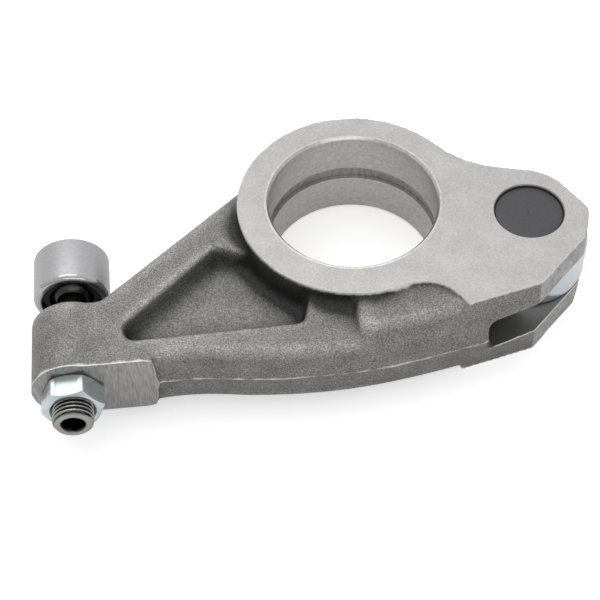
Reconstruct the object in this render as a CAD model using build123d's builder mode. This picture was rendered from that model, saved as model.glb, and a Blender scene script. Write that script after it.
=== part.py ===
from build123d import *
from math import cos, radians, sin, sqrt, tan
import os

# Roller rocker arm of an overhead-camshaft truck diesel, lying on one ground side face.
# The frame has its origin on the shaft bore's axis at the lower ground face.
# +Z runs up the bore, +X points towards the roller and +Y follows the adjusting screw,
# from its lock nut to its swivel foot. All sizes are in millimetres.

# Driving dimensions of the hub and its bearing bushes
width = 37.6                 # between the two ground side faces
hub_radius = 41.35           # forged hub at a ground face
hub_shift = -1.07             # the forged hub stands this far from the bore in Y
bore_diameter = 60.0         # reamed bushes, running on the rocker shaft
bush_wall = 1.6
oil_groove_width = 5.6       # gap between the two bushes
bush_chamfer_depth = 0.95
bush_chamfer_width = 0.8

# Driving dimensions of the forging
hub_draft = 3.5              # degrees
arm_draft = 5.0
pad_draft = 13.0
pocket_draft = 12.0
arm_thickness = 26.2         # arm between hub and screw boss
arm_edge_radius = 3.2
arm_inner_radius = 2.5       # where the sloping side meets the boss
pocket_depth = 6.7
pocket_floor_radius = 2.7
pocket_rim_radius = 1.6
pocket_left_radius = 4.8     # corners of the triangular pocket, seen from above
pocket_back_radius = 4.3
pocket_front_radius = 3.75
hub_fillet = 3.2             # hub wall to the arm's flats
pad_drop = 1.7               # forged pad below the ground face
pad_edge_radius = 3.2
scallop_floor_radius = 1.3
scallop_end_radius = 8.6
seat_right_x = -64.3         # where the milling of the nut's seat ends

# Driving dimensions of the fork, its pin and its roller
pin_x = 60.96
pin_y = -11.68
pin_diameter = 24.4
pin_recess = 1.1             # pin ends below the ground faces
pin_hole_chamfer = 0.35
pin_edge_chamfer = 0.5
cheek_radius = 18.4          # round end of the cheeks
cheek_shift = 1.4            # its centre lies this far left of the pin and behind it
cheek_blend_radius = 37.1    # hollow side between hub and cheeks
cheek_corner_radius = 3.75
slot_width = 15.4            # between the cheeks
slot_end_radius = 25.2       # closed end of the slot about the pin
slot_flare = 7.6             # degrees, the slot opens towards its front mouth
slot_corner_radius = 3.2
roller_diameter = 44.0
bevel_edge = 0.5             # broken edge along the milled bevel
roller_side_gap = 0.3
roller_edge_radius = 1.1
roller_bush_wall = 2.0
roller_fit = 0.04            # radial running clearance, inside and outside the floating bush

# Driving dimensions of the screw end
screw_x = -101.8
thread_diameter = 14.0       # M14x1.5, drawn at its major diameter
thread_fit = 0.03            # radial clearance of the plain cylinders that stand for the thread
boss_radius = 13.9
boss_far_y = -30.0           # boss end on the foot's side
boss_edge_radius = 2.8
nut_face_y = -58.7           # milled seat of the lock nut
nut_across_flats = 19.0
nut_thickness = 8.8
nut_countersink = 0.9
nut_turn = 6.5               # degrees, how the tightened nut stands
screw_past_nut = 5.6
screw_nose = 1.6             # chamfer of the screw's outer end
socket_across_flats = 7.0
socket_depth = 8.5
socket_mouth_diameter = 9.1
thread_run_out_y = -26.3     # where the thread ends on the foot's side
neck_diameter = 10.5
ball_diameter = 17.0
ball_fit = 0.05
oilway_diameter = 4.0
screw_oil_hole = 2.5

# Driving dimensions of the swivel foot
foot_diameter = 26.8
foot_far_y = -2.5            # flat face that presses on the valve bridge
foot_length = 18.5
foot_floor = 2.7             # under the ball socket
foot_mouth_diameter = 21.0
foot_mouth_depth = 1.7
foot_edge_radius = 0.9
foot_mouth_radius = 2.0      # rounding of the polished lip
foot_oil_hole = 2.0
ring_thickness = 1.2
ring_play = 0.05             # of the snap ring in its groove
ring_inner_diameter = 15.6
ring_groove_depth = 0.6      # how far the snap ring reaches into the foot's wall
ring_gap_angle = 40.0        # degrees, the open part of the snap ring

# Sizes and places that follow from them
mid_z = width / 2
arm_half = arm_thickness / 2
housing_radius = bore_diameter / 2 + bush_wall
bush_length = (width - oil_groove_width) / 2
pad_z = width - pad_drop
pin_radius = pin_diameter / 2
roller_width = slot_width - 2 * roller_side_gap
ball_radius = ball_diameter / 2
ball_y = foot_far_y - foot_floor - ball_radius - ball_fit
foot_near_y = foot_far_y - foot_length
ring_y = foot_near_y + foot_mouth_depth
nut_near_y = nut_face_y - nut_thickness
screw_end_y = nut_near_y - screw_past_nut
hub_centre = (0, hub_shift)
pin_centre = Vector(pin_x, pin_y)
mid_plane = Plane.XY.offset(mid_z)
screw_plane = Plane(origin=(screw_x, 0, mid_z), x_dir=(1, 0, 0), z_dir=(0, 1, 0))


def polar(length, angle):
    """Vector of this length at this angle in degrees from +X."""
    return Vector(length * cos(radians(angle)), length * sin(radians(angle)))


def flat(point):
    """The X and Y of a vector as a plain pair."""
    return (point.X, point.Y)


def off_hub(beyond, angle):
    """X and Y of the point this far outside the forged hub, at this angle about its centre."""
    return flat(Vector(*hub_centre) + polar(hub_radius + beyond, angle))


def drafted(outline, height, angle):
    """Forged block on an outline that draws in by the draft angle over its height."""
    drawn_in = height * tan(radians(angle))
    top = offset(outline, amount=-drawn_in, kind=Kind.INTERSECTION, mode=Mode.PRIVATE)
    raised = top.faces()[0].moved(Location((0, 0, height)))
    return loft([outline.faces()[0], raised], ruled=True, mode=Mode.PRIVATE)


def round_nearest(sketch, point, radius):
    """Round the sketch's corner that lies nearest to a point."""
    fillet(sketch.vertices().sort_by_distance(point)[0], radius)


# The forging is symmetrical about its parting plane, so its upper half is built on that
# plane and mirrored. First the flat arm from the hub out to the screw boss.
front_left = (-73.7, -58.5)
nut_pad_y = nut_face_y - 5
wall_foot = (screw_x + 10.4, boss_far_y + 0.55)
with BuildSketch(mid_plane) as arm_outline:
    with BuildLine():
        Polyline((-26.79, 27), wall_foot, (screw_x, wall_foot[1]), (screw_x, nut_pad_y),
                 (front_left[0] - 1.5, nut_pad_y), front_left)
        hollow = ThreePointArc(front_left, (-61.07, -58.07), (-50.36, -59.14))
        bulge = TangentArc(hollow @ 1, (26.79, -56.04), tangent=hollow % 1)
        Polyline(bulge @ 1, (26.79, -10.71), (-26.79, 27))
    make_face()
    round_nearest(arm_outline, wall_foot, arm_inner_radius)
    round_nearest(arm_outline, front_left, 1.5)

# Triangular lightening pocket between the arm's two beams. Its right side lies inside the
# hub, so the hub's own wall closes it.
pocket_top_z = mid_z + arm_half
pocket_left = (-91.29, -49.71)
pocket_back = off_hub(9.1, 191.3)
pocket_front = off_hub(10.2, 245.0)
with BuildSketch(Plane.XY.offset(pocket_top_z)) as pocket_outline:
    with BuildLine():
        Polyline(pocket_left, pocket_back, off_hub(-0.9, 205.7), off_hub(-3.2, 240.6),
                 pocket_front, close=True)
    make_face()
    round_nearest(pocket_outline, pocket_left, pocket_left_radius)
    round_nearest(pocket_outline, pocket_back, pocket_back_radius)
    round_nearest(pocket_outline, pocket_front, pocket_front_radius)
with BuildPart() as pocket_tool:
    drawn_in = pocket_depth * tan(radians(pocket_draft))
    pocket_floor = offset(pocket_outline.sketch, amount=-drawn_in, kind=Kind.INTERSECTION,
                          mode=Mode.PRIVATE)
    loft([pocket_outline.sketch.faces()[0],
          pocket_floor.faces()[0].moved(Location((0, 0, -pocket_depth)))], ruled=True)

with BuildPart() as arm_half_body:
    add(drafted(arm_outline.sketch, arm_half, arm_draft))
    fillet(arm_half_body.faces().sort_by(Axis.Z)[-1].edges(), arm_edge_radius)
    add(pocket_tool.part, mode=Mode.SUBTRACT)
    floor_z = pocket_top_z - pocket_depth
    flats = arm_half_body.faces().filter_by(Plane.XY)
    fillet(flats.filter_by_position(Axis.Z, floor_z - 0.01, floor_z + 0.01).edges(),
           pocket_floor_radius)
    arm_top = arm_half_body.faces().filter_by(Plane.XY).sort_by(Axis.Z)[-1]
    fillet(arm_top.inner_wires()[0].edges(), pocket_rim_radius)

# Fork end and hub share one ground outline: the hub's circle, the hollow side, the round end
# about the pin, the short straight end, the milled bevel and the straight front edge.
bevel_top = Vector(78.2, -25.8)
bevel_foot = Vector(60.25, -43.97)
scallop_corner = Vector(33.43, -50.46)
end_corner = (82.35, -12.5)
round_start, round_end = 31.0, 76.0
cheek_centre = pin_centre + Vector(-cheek_shift, cheek_shift)
half_turn = (round_end - round_start) / 2
round_corner = cheek_centre + polar(cheek_radius / cos(radians(half_turn)),
                                    (round_start + round_end) / 2)
side_start = cheek_centre + polar(cheek_radius, round_end) - polar(45, round_end - 90)
with BuildSketch(mid_plane) as ground_outline:
    with BuildLine():
        Polyline(flat(side_start), flat(round_corner), end_corner, flat(bevel_top),
                 flat(bevel_foot), flat(scallop_corner), off_hub(11.8, 296.3), off_hub(3.05, 289.7),
                 (5.36, 5.36),
                 close=True)
    make_face()
    with Locations(hub_centre):
        Circle(hub_radius)
    round_nearest(ground_outline, flat(round_corner), cheek_radius)
    round_nearest(ground_outline, end_corner, cheek_corner_radius)
    round_nearest(ground_outline, (38.57, 13.93), cheek_blend_radius)
with BuildPart() as fork_half_body:
    parting = offset(ground_outline.sketch, amount=mid_z * tan(radians(hub_draft)),
                     kind=Kind.INTERSECTION, mode=Mode.PRIVATE)
    loft([parting.faces()[0], ground_outline.sketch.faces()[0].moved(Location((0, 0, mid_z)))],
         ruled=True)

# The front of the cheeks leans further out towards the parting plane than the rest.
with BuildPart() as cheek_half_body:
    with BuildSketch(mid_plane):
        with BuildLine():
            lean = ThreePointArc((33.43, -54.86), (47.14, -50.68), (61.07, -43.82))
            Polyline(lean @ 1, (53.57, -26.79), (38.57, -26.79), lean @ 0)
        make_face()
    with BuildSketch(Plane.XY.offset(width)):
        with BuildLine():
            Polyline(flat(scallop_corner), (62.14, -43.29), (53.57, -26.79), (38.57, -26.79), close=True)
        make_face()
    loft(ruled=True)

# Forged pad in front of the hub, a little below the ground face, with a rounded shoulder.
pad_left = -7.9
with BuildSketch(mid_plane) as pad_outline:
    with BuildLine():
        shoulder = ThreePointArc((pad_left, -60.95), (15, -58.29), (42.86, -52.29))
        Polyline(shoulder @ 1, (42.86, -26.79), (pad_left, -26.79), shoulder @ 0)
    make_face()
    round_nearest(pad_outline, (pad_left, -60.95), 7.5)
with BuildPart() as pad_half_body:
    add(drafted(pad_outline.sketch, pad_z - mid_z, pad_draft))
    pad_top = pad_half_body.faces().sort_by(Axis.Z)[-1]
    front_edges = pad_top.edges().filter_by(lambda edge: edge.center().Y < -48)
    left_edges = pad_top.edges().filter_by(lambda edge: edge.center().X < pad_left + 5)
    fillet(front_edges + left_edges, pad_edge_radius)

# Scalloped relief that leaves the pad unground beside the hub.
with BuildPart() as relief:
    with BuildSketch(Plane.XY.offset(pad_z)) as relief_outline:
        with BuildLine():
            scallop = ThreePointArc(flat(scallop_corner), off_hub(8.0, 304.0), off_hub(-0.75, 290.1))
            run_out = (scallop @ 0) - (scallop % 0) * 5
            Polyline(scallop @ 1, (-8.57, -32.14), (-8.57, -75), (run_out.X, -75), run_out,
                     scallop @ 0)
        make_face()
        with Locations(hub_centre):
            Circle(hub_radius + pad_drop * tan(radians(hub_draft)) + 0.05, mode=Mode.SUBTRACT)
        round_nearest(relief_outline, off_hub(0.14, 292), scallop_end_radius)
    extrude(amount=2 * pad_drop)
    relief_floor = relief.faces().sort_by(Axis.Z)[0]
    fillet(relief_floor.edges().filter_by(GeomType.CIRCLE), scallop_floor_radius)


def hub_flare(z, from_angle, to_angle):
    """Hollow fillet that runs round the hub's wall where it meets a flat at height z."""
    wall = hub_radius + (width - z - hub_fillet) * tan(radians(hub_draft)) - 0.06
    with BuildPart() as flare:
        with BuildSketch(Plane.XZ.offset(-hub_shift)):
            with BuildLine():
                Polyline((wall + hub_fillet, z), (wall + hub_fillet, z - 1), (wall - 2, z - 1),
                         (wall - 2, z + hub_fillet), (wall, z + hub_fillet))
                RadiusArc((wall, z + hub_fillet), (wall + hub_fillet, z), -hub_fillet)
            make_face()
        revolve(axis=Axis((0, hub_shift, 0), (0, 0, 1)), revolution_arc=to_angle - from_angle)
    return flare.part.rotate(Axis((0, hub_shift, 0), (0, 0, 1)), from_angle)


arm_top_inset = arm_half * tan(radians(arm_draft)) + arm_edge_radius
with BuildPart() as arm_flare:
    add(hub_flare(pocket_top_z, 150, 266))
    with BuildSketch(Plane.XY.offset(pocket_top_z - 1)):
        add(pocket_outline.sketch.moved(Location((0, 0, -pocket_top_z))))
    extrude(amount=hub_fillet + 2, mode=Mode.SUBTRACT)
    with BuildSketch(Plane.XY.offset(pocket_top_z - 1)):
        add(offset(arm_outline.sketch.moved(Location((0, 0, -mid_z))), amount=-arm_top_inset,
                   kind=Kind.INTERSECTION, mode=Mode.PRIVATE))
    extrude(amount=hub_fillet + 2, mode=Mode.INTERSECT)
with BuildPart() as pocket_flare:
    add(hub_flare(floor_z, 150, 270))
    add(pocket_tool.part, mode=Mode.INTERSECT)

with BuildPart() as upper_half:
    add(arm_half_body.part)
    add(pad_half_body.part)
    add(fork_half_body.part)
    add(cheek_half_body.part)
    add(relief.part, mode=Mode.SUBTRACT)
    add(arm_flare.part)
    add(pocket_flare.part)

# Slot between the cheeks. Its closed end is round about the pin, then flares to the front.
flare_start = pin_centre + polar(slot_end_radius, 180 + slot_flare)
flare_end = flare_start + polar(60, 270 + slot_flare)
side_y = 40
with BuildPart() as slot_tool:
    with BuildSketch(Plane.XY.offset(mid_z - slot_width / 2)):
        with BuildLine():
            Line(flat(flare_end), flat(flare_start))
            RadiusArc(flat(flare_start), (pin_x - slot_end_radius, pin_y), slot_end_radius)
            Polyline((pin_x - slot_end_radius, pin_y), (pin_x - slot_end_radius, side_y),
                     (pin_x + side_y, side_y), (pin_x + side_y, flare_end.Y), flat(flare_end))
        make_face()
    extrude(amount=slot_width)
    ends = slot_tool.faces().filter_by(Plane.XY)
    closed = ends.edges().filter_by(lambda edge: edge.center().X < pin_x - 10
                                    and abs(edge.tangent_at(0.5).Y) > 0.9)
    fillet(closed, slot_corner_radius)

# Round boss that carries the adjusting screw, rounded at the foot's end
with BuildPart() as screw_boss:
    with BuildSketch(screw_plane.offset(nut_face_y - 2)):
        Circle(boss_radius)
    extrude(amount=boss_far_y - nut_face_y + 2)
    fillet(screw_boss.edges().sort_by(Axis.Y)[-1], boss_edge_radius)

bevel_turn = (bevel_top - bevel_foot).normalized()
bevel_out = Vector(bevel_turn.Y, -bevel_turn.X)
with BuildPart() as rocker_arm:
    add(upper_half.part)
    mirror(about=mid_plane)
    add(screw_boss.part)
    # Milled seat of the lock nut
    with BuildSketch(Plane.XY):
        with Locations((seat_right_x, nut_face_y)):
            Rectangle(2 * (seat_right_x - screw_x), 2 * boss_radius, align=(Align.MAX, Align.MAX))
    extrude(amount=width, mode=Mode.SUBTRACT)
    # Milled bevel across both cheeks
    with BuildSketch(Plane.XY):
        with BuildLine():
            Polyline(flat(bevel_top + bevel_turn * 6), flat(bevel_foot - bevel_turn * 6),
                     flat(bevel_foot - bevel_turn * 6 + bevel_out * 12),
                     flat(bevel_top + bevel_turn * 6 + bevel_out * 12), close=True)
        make_face()
    extrude(amount=width, mode=Mode.SUBTRACT)
    rims = rocker_arm.edges().filter_by(GeomType.LINE).filter_by(
        lambda edge: abs((edge.center() - bevel_foot).dot(bevel_out)) < 0.01
        and min(abs(edge.center().Z), abs(edge.center().Z - width)) < 0.01)
    chamfer(rims, bevel_edge)
    # Bored housing for the two bushes
    with BuildSketch(Plane.XY):
        Circle(housing_radius)
    extrude(amount=width, mode=Mode.SUBTRACT)
    add(slot_tool.part, mode=Mode.SUBTRACT)
    # Pin hole through both cheeks, with a small chamfer at each ground face
    with BuildSketch(Plane.XY):
        with Locations(flat(pin_centre)):
            Circle(pin_radius)
    extrude(amount=width, mode=Mode.SUBTRACT)
    rims = rocker_arm.edges().filter_by(GeomType.CIRCLE).filter_by(
        lambda edge: abs(edge.radius - pin_radius) < 0.01
        and min(abs(edge.center().Z), abs(edge.center().Z - width)) < 0.01)
    chamfer(rims, pin_hole_chamfer)
    # Tapped hole for the adjusting screw, right through the boss
    with BuildSketch(screw_plane.offset(nut_face_y)):
        Circle(thread_diameter / 2 + thread_fit)
    extrude(amount=wall_foot[1] + 1 - nut_face_y, mode=Mode.SUBTRACT)
    # Oilway from the groove between the bushes to the tapped hole
    oil_target = Vector(screw_x, (nut_face_y + boss_far_y) / 2)
    oil_turn = oil_target.normalized()
    with BuildSketch(Plane(origin=(oil_turn.X * (housing_radius - 1),
                                   oil_turn.Y * (housing_radius - 1), mid_z),
                           z_dir=(oil_turn.X, oil_turn.Y, 0))):
        Circle(oilway_diameter / 2)
    extrude(amount=oil_target.length - housing_radius + 1, mode=Mode.SUBTRACT)


# Two plain bearing bushes pressed into the hub from its two sides
def bearing_bush(face_z, inward):
    """Bush flush with the ground face at face_z, chamfered there, reaching inward."""
    inner = bore_diameter / 2
    with BuildPart() as bush:
        with BuildSketch(Plane.XZ):
            with BuildLine():
                Polyline((inner, face_z + inward * bush_chamfer_depth),
                         (inner + bush_chamfer_width, face_z), (housing_radius, face_z),
                         (housing_radius, face_z + inward * bush_length),
                         (inner, face_z + inward * bush_length), close=True)
            make_face()
        revolve(axis=Axis.Z)
    return bush


bush_upper = bearing_bush(width, -1)
bush_lower = bearing_bush(0, 1)

# Pin pressed into both cheeks, a little below the ground faces
with BuildPart() as roller_pin:
    with BuildSketch(Plane.XY.offset(pin_recess)):
        with Locations(flat(pin_centre)):
            Circle(pin_radius)
    extrude(amount=width - 2 * pin_recess)
    chamfer(roller_pin.edges().filter_by(GeomType.CIRCLE), pin_edge_chamfer)


def roller_ring(inner, outer, length):
    """Plain ring about the pin, centred between the cheeks."""
    with BuildPart() as piece:
        with BuildSketch(Plane.XY.offset(mid_z - length / 2)):
            with Locations(flat(pin_centre)):
                Circle(outer)
                Circle(inner, mode=Mode.SUBTRACT)
        extrude(amount=length)
    return piece


# Floating bronze bush between pin and roller, and the hardened roller itself
bush_inner = pin_radius + roller_fit
bush_outer = bush_inner + roller_bush_wall
roller_bush = roller_ring(bush_inner, bush_outer, roller_width)
roller = roller_ring(bush_outer + roller_fit, roller_diameter / 2, roller_width)
with roller:
    tread = roller.edges().filter_by(GeomType.CIRCLE).filter_by(
        lambda edge: edge.radius > roller_diameter / 2 - 0.01)
    fillet(tread, roller_edge_radius)

# Adjusting screw: socket end, thread, run-out cone, neck and ball, turned in one piece.
# Its profile is drawn with the distance along the screw as X and the radius as Y.
turning_plane = Plane(origin=(screw_x, 0, mid_z), x_dir=(0, 1, 0), z_dir=(1, 0, 0))
screw_axis = Axis((screw_x, 0, mid_z), (0, 1, 0))
thread_radius = thread_diameter / 2
neck_radius = neck_diameter / 2
cone_end_y = thread_run_out_y + thread_radius - neck_radius
ball_start_y = ball_y - sqrt(ball_radius ** 2 - neck_radius ** 2)
with BuildPart() as adjusting_screw:
    with BuildSketch(turning_plane):
        with BuildLine():
            Polyline((screw_end_y, 0), (screw_end_y, thread_radius - screw_nose),
                     (screw_end_y + screw_nose, thread_radius),
                     (thread_run_out_y, thread_radius), (cone_end_y, neck_radius),
                     (ball_start_y, neck_radius))
            ThreePointArc((ball_start_y, neck_radius), (ball_y, ball_radius),
                          (ball_y + ball_radius, 0))
            Line((ball_y + ball_radius, 0), (screw_end_y, 0))
        make_face()
    revolve(axis=screw_axis)
    # Hexagon socket with a countersunk mouth
    with BuildSketch(screw_plane.offset(screw_end_y)):
        RegularPolygon(socket_across_flats / 2, 6, major_radius=False, rotation=30)
    extrude(amount=socket_depth, mode=Mode.SUBTRACT)
    mouth_depth = (socket_mouth_diameter - socket_across_flats) / 2
    with BuildSketch(screw_plane.offset(screw_end_y)):
        Circle(socket_mouth_diameter / 2)
    extrude(amount=mouth_depth, taper=45, mode=Mode.SUBTRACT)
    # Oil hole from a cross hole at the arm's oilway to the ball
    with BuildSketch(screw_plane.offset(oil_target.Y)):
        Circle(screw_oil_hole / 2)
    extrude(amount=ball_y + ball_radius - oil_target.Y, mode=Mode.SUBTRACT)
    with BuildSketch(Plane.YZ.offset(screw_x - thread_radius)):
        with Locations((oil_target.Y, mid_z)):
            Circle(screw_oil_hole / 2)
    extrude(amount=thread_diameter, mode=Mode.SUBTRACT)

# Lock nut, its corners chamfered on both faces
corner_radius = nut_across_flats / sqrt(3)
flat_radius = 0.93 * nut_across_flats / 2
bevel_length = (corner_radius + 0.5 - flat_radius) * tan(radians(30))
with BuildPart() as lock_nut:
    with BuildSketch(screw_plane.offset(nut_near_y)):
        RegularPolygon(nut_across_flats / 2, 6, major_radius=False, rotation=-nut_turn)
    extrude(amount=nut_thickness)
    with BuildSketch(turning_plane):
        with BuildLine():
            Polyline((nut_near_y, 0), (nut_near_y, flat_radius),
                     (nut_near_y + bevel_length, corner_radius + 0.5),
                     (nut_face_y - bevel_length, corner_radius + 0.5),
                     (nut_face_y, flat_radius), (nut_face_y, 0), close=True)
        make_face()
    revolve(axis=screw_axis, mode=Mode.INTERSECT)
    with BuildSketch(screw_plane.offset(nut_near_y)):
        Circle(thread_radius + thread_fit)
    extrude(amount=nut_thickness, mode=Mode.SUBTRACT)
    mouths = lock_nut.edges().filter_by(GeomType.CIRCLE).filter_by(
        lambda edge: abs(edge.radius - thread_radius - thread_fit) < 0.01)
    chamfer(mouths, nut_countersink)

# Swivel foot: a turned cup with a ball socket and a groove for its snap ring
socket_radius = ball_radius + ball_fit
foot_radius = foot_diameter / 2
mouth_radius = foot_mouth_diameter / 2
groove_radius = mouth_radius + ring_groove_depth
groove_end_y = ring_y + ring_thickness + 2 * ring_play
with BuildPart() as swivel_foot:
    with BuildSketch(turning_plane):
        with BuildLine():
            Polyline((foot_far_y, foot_oil_hole / 2), (foot_far_y, foot_radius),
                     (foot_near_y, foot_radius), (foot_near_y, mouth_radius),
                     (ring_y, mouth_radius), (ring_y, groove_radius),
                     (groove_end_y, groove_radius), (groove_end_y, socket_radius),
                     (ball_y, socket_radius))
            socket_end = sqrt(socket_radius ** 2 - (foot_oil_hole / 2) ** 2)
            ThreePointArc((ball_y, socket_radius),
                          (ball_y + socket_radius * sin(radians(45)),
                           socket_radius * cos(radians(45))),
                          (ball_y + socket_end, foot_oil_hole / 2))
            Line((ball_y + socket_end, foot_oil_hole / 2), (foot_far_y, foot_oil_hole / 2))
        make_face()
    revolve(axis=screw_axis)
    outer = swivel_foot.edges().filter_by(GeomType.CIRCLE).filter_by(
        lambda edge: abs(edge.radius - foot_radius) < 0.01)
    fillet(outer.sort_by(Axis.Y)[-1], foot_edge_radius)
    outer = swivel_foot.edges().filter_by(GeomType.CIRCLE).filter_by(
        lambda edge: abs(edge.radius - foot_radius) < 0.01)
    fillet(outer.sort_by(Axis.Y)[0], foot_mouth_radius)

# Open snap ring that keeps the ball in the foot
with BuildPart() as foot_snap_ring:
    with BuildSketch(screw_plane.offset(ring_y + ring_play)):
        Circle(groove_radius - ring_play)
        Circle(ring_inner_diameter / 2, mode=Mode.SUBTRACT)
        with BuildLine():
            Polyline((0, 0), flat(polar(2 * groove_radius, 270 - ring_gap_angle / 2)),
                     flat(polar(2 * groove_radius, 270 + ring_gap_angle / 2)), close=True)
        make_face(mode=Mode.SUBTRACT)
    extrude(amount=ring_thickness)

pieces = {
    "rocker_arm": rocker_arm,
    "bush_upper": bush_upper,
    "bush_lower": bush_lower,
    "roller_pin": roller_pin,
    "roller_bush": roller_bush,
    "roller": roller,
    "adjusting_screw": adjusting_screw,
    "lock_nut": lock_nut,
    "swivel_foot": swivel_foot,
    "foot_snap_ring": foot_snap_ring,
}
os.makedirs("parts", exist_ok=True)
for name, piece in pieces.items():
    piece.part.label = name
    export_step(piece.part, "parts/" + name + ".step")
    print(name, round(piece.part.volume, 1), piece.part.is_valid, len(piece.part.solids()))
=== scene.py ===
import bpy
import numpy as np
from mathutils import Matrix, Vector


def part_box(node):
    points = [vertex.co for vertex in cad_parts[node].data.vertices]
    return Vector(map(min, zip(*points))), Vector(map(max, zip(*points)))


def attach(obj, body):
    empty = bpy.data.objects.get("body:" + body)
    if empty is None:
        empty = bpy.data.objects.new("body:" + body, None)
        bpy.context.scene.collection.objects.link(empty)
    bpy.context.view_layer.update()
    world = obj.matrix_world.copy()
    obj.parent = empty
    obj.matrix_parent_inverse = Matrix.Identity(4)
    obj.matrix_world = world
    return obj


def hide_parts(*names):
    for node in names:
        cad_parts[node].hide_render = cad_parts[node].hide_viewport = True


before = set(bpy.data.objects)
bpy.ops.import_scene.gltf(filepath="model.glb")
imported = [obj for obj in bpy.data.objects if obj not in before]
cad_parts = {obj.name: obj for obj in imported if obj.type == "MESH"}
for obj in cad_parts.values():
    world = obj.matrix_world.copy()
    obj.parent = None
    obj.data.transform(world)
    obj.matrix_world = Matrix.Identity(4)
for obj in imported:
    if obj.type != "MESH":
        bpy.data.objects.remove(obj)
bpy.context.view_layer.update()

# Table and studio. The part lies on a white sweep, lit by a wide soft box overhead, a strip in
# front and the white room around it. The camera stands in front of the arm and looks down at
# 52 degrees through a long lens.
scene = bpy.context.scene
scene.view_settings.view_transform = "Standard"


def turned(vector, degrees):
    """The vector turned about +Z: its x and y mixed by the angle's cosine and sine."""
    c, s = np.cos(np.radians(degrees)), np.sin(np.radians(degrees))
    x, y, z = vector
    return np.array([c * x - s * y, s * x + c * y, z])


camera_distance = 596.2
camera_height_angle = np.radians(51.99)
camera_roll = np.radians(1.22)
camera_turn = -4.5
camera_aim = (19.29, 12.41)
sideways = np.array([1.0, 0.0, 0.0])
upward = np.array([0.0, np.sin(camera_height_angle), np.cos(camera_height_angle)])
backward = np.array([0.0, -np.cos(camera_height_angle), np.sin(camera_height_angle)])
right = np.cos(camera_roll) * sideways - np.sin(camera_roll) * upward
above = np.sin(camera_roll) * sideways + np.cos(camera_roll) * upward
right, above, backward = (turned(axis, camera_turn) for axis in (right, above, backward))
stand = backward * camera_distance - right * camera_aim[0] - above * camera_aim[1]
camera = bpy.data.objects.new("camera", bpy.data.cameras.new("camera"))
camera.data.lens = 96.0
camera.data.sensor_width = 36.0
camera.data.clip_start = 0.01
pose = np.eye(4)
pose[:3, 0], pose[:3, 1], pose[:3, 2], pose[:3, 3] = right, above, backward, stand / 1000
camera.matrix_world = Matrix(pose.tolist())
scene.collection.objects.link(camera)
scene.camera = camera


def hex_colour(code):
    """Linear colour with alpha 1 of an sRGB hex code."""
    part = np.array([int(code[i : i + 2], 16) for i in (1, 3, 5)]) / 255
    linear = np.where(part <= 0.04045, part / 12.92, ((part + 0.055) / 1.055) ** 2.4)
    return (*linear.tolist(), 1.0)


def add_node(tree, kind, inputs=(), **settings):
    """Adds a shader node. Inputs are values, hex colours, or (node, output) to link."""
    fresh = tree.nodes.new("ShaderNode" + kind)
    for name, value in settings.items():
        setattr(fresh, name, value)
    for name, value in dict(inputs).items():
        if isinstance(value, tuple) and hasattr(value[0], "outputs"):
            tree.links.new(value[0].outputs[value[1]], fresh.inputs[name])
        else:
            coded = isinstance(value, str)
            fresh.inputs[name].default_value = hex_colour(value) if coded else value
    return fresh


def new_material(name):
    """An empty node material and its tree."""
    made = bpy.data.materials.new(name)
    made.use_nodes = True
    made.node_tree.nodes.clear()
    return made, made.node_tree


# Matt white paper. It glows for the camera and in reflections only, so that it shows white and
# keeps the part's shadow. It lies 0.1 mm under the part, so that no two faces share a plane.
sweep_size = 3000.0
under_part = 0.1
half, floor_z = sweep_size / 2000, -under_part / 1000
sweep_mesh = bpy.data.meshes.new("sweep")
sweep_mesh.from_pydata([(-half, -half, floor_z), (half, -half, floor_z), (half, half, floor_z),
                        (-half, half, floor_z)], [], [(0, 1, 2, 3)])
sweep = bpy.data.objects.new("sweep", sweep_mesh)
scene.collection.objects.link(sweep)
sweep_paper, tree = new_material("white sweep paper")
seen = add_node(tree, "LightPath")
paper = add_node(tree, "BsdfDiffuse", {"Color": "#F6F6F6"})
glow_level = add_node(tree, "MapRange", {
    "Value": (seen, "Is Camera Ray"), "To Min": 0.12, "To Max": 0.5})
glow = add_node(tree, "Emission", {"Color": (1, 1, 1, 1), "Strength": (glow_level, 0)})
bright = add_node(tree, "AddShader", {0: (paper, 0), 1: (glow, 0)})
seen_or_mirrored = add_node(tree, "Math", {
    0: (seen, "Is Camera Ray"), 1: (seen, "Is Glossy Ray")}, operation="MAXIMUM")
in_any_way = add_node(tree, "Math", {
    0: (seen_or_mirrored, 0), 1: (seen, "Is Transmission Ray")}, operation="MAXIMUM")
choice = add_node(tree, "MixShader", {0: (in_any_way, 0), 1: (paper, 0), 2: (bright, 0)})
add_node(tree, "OutputMaterial", {"Surface": (choice, 0)})
sweep_mesh.materials.append(sweep_paper)

# White room. Its light comes a little more from above and from behind. The camera sees it as
# plain white, and reflections see it partly so.
from_behind, from_above, all_round = 0.35, 0.35, 0.5
mirrored_part = 0.4
world = bpy.data.worlds.new("white room")
world.use_nodes = True
scene.world = world
tree = world.node_tree
tree.nodes.clear()
toward = add_node(tree, "SeparateXYZ", {0: (add_node(tree, "TexCoord"), "Generated")})
backlight = add_node(tree, "Math", {
    0: (toward, "Y"), 1: from_behind, 2: all_round}, operation="MULTIPLY_ADD")
strength = add_node(tree, "Math", {
    0: (toward, "Z"), 1: from_above, 2: (backlight, 0)}, operation="MULTIPLY_ADD")
seen = add_node(tree, "LightPath")
seen_or_through = add_node(tree, "Math", {
    0: (seen, "Is Camera Ray"), 1: (seen, "Is Transmission Ray")}, operation="MAXIMUM")
white_part = add_node(tree, "Math", {
    0: (seen, "Is Glossy Ray"), 1: mirrored_part, 2: (seen_or_through, 0)},
    operation="MULTIPLY_ADD", use_clamp=True)
shown = add_node(tree, "Mix", {0: (white_part, 0), 2: (strength, 0), 3: 1.0}, data_type="FLOAT")
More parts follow.
